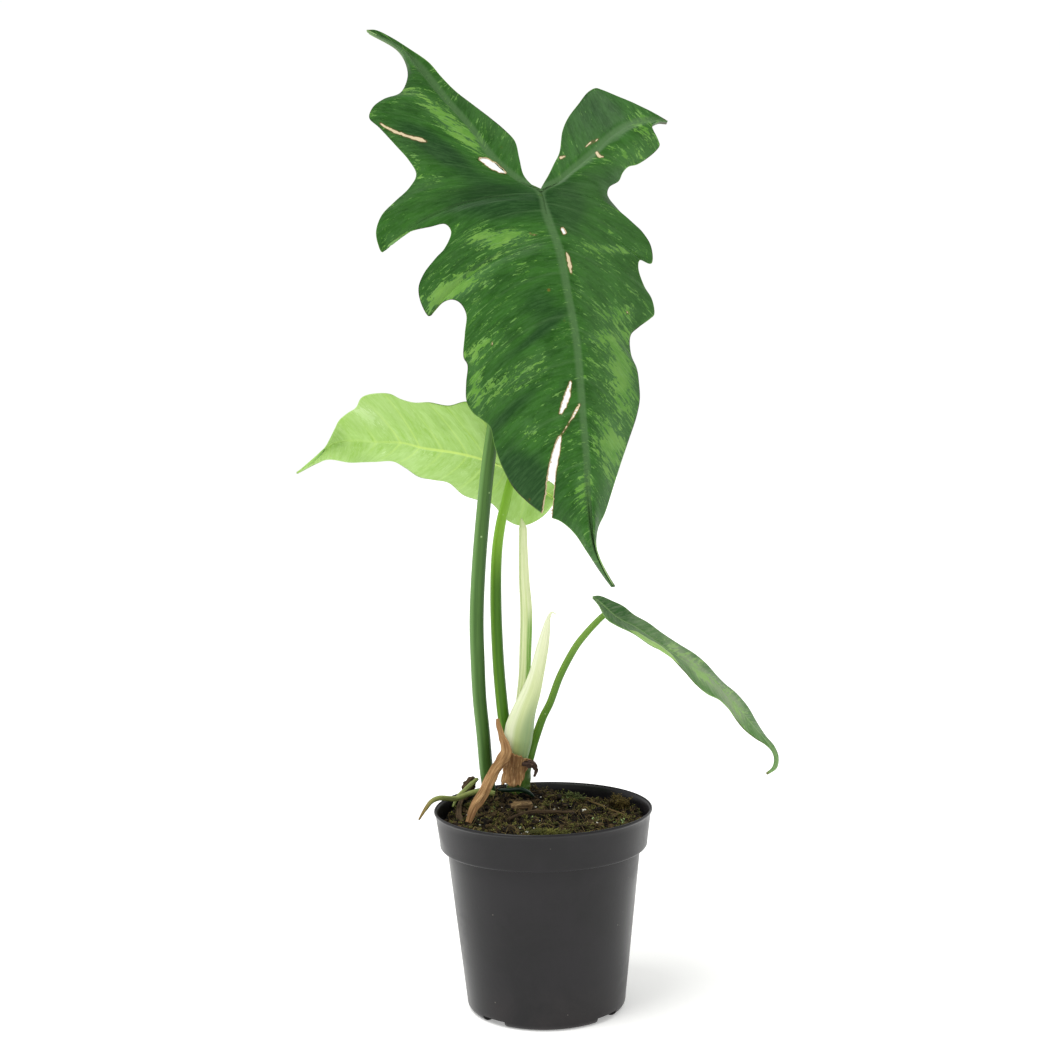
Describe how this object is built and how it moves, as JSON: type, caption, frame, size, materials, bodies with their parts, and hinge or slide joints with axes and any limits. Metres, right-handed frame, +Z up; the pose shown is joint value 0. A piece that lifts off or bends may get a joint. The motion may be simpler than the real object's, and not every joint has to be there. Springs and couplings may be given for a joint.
{
  "type": "potted philodendron",
  "caption": "Variegated climbing philodendron in a round black nursery pot: a tall lobed leaf, a pale leaf, a small drooping leaf, long stalks and a pale new shoot.",
  "frame": {"origin": "centre of the pot's underside, on the surface it stands on", "axes": "+Z up, -Y towards the front of the tall leaf, +X towards the small drooping leaf"},
  "size_m": [0.2606, 0.12, 0.5258],
  "materials": {
    "pot_plastic": "satin",
    "potting_mix": "matte",
    "stalk_green": "satin",
    "stalk_bright": "satin",
    "leaf_dark": "satin",
    "leaf_pale": "satin",
    "leaf_young": "satin",
    "sheath_cream": "satin",
    "sheath_dry": "matte",
    "live_root": "matte",
    "dead_scrap": "matte",
    "bark": "matte",
    "moss": "matte",
    "perlite": "matte"
  },
  "bodies": {
    "root": {"nursery_pot": "pot_plastic", "potting_mix": "potting_mix", "main_stem": "stalk_green", "petiole_large_leaf": "stalk_green", "petiole_pale_leaf": "stalk_bright", "petiole_drooping_leaf": "stalk_bright", "blade_large_leaf": "leaf_dark", "blade_pale_leaf": "leaf_pale", "blade_drooping_leaf": "leaf_young", "pale_cataphyll": "sheath_cream", "new_shoot_sheath": "sheath_cream", "dried_sheath_collar": "sheath_dry", "dried_sheath_strip": "sheath_dry", "dried_sheath_stub": "sheath_dry", "aerial_root_long": "live_root", "aerial_root_short": "live_root", "old_petiole_stub": "stalk_green", "dead_root_left": "dead_scrap", "dead_root_front": "dead_scrap", "thin_twig": "bark", "dried_leaf_scrap": "dead_scrap", "bark_chip": "bark", "moss_clump_right": "moss", "moss_clump_back": "moss", "moss_clump_left": "moss", "moss_clump_front": "moss", "perlite_grain_front": "perlite", "perlite_grain_middle": "perlite", "perlite_grain_left": "perlite"}
  },
  "joints": []
}
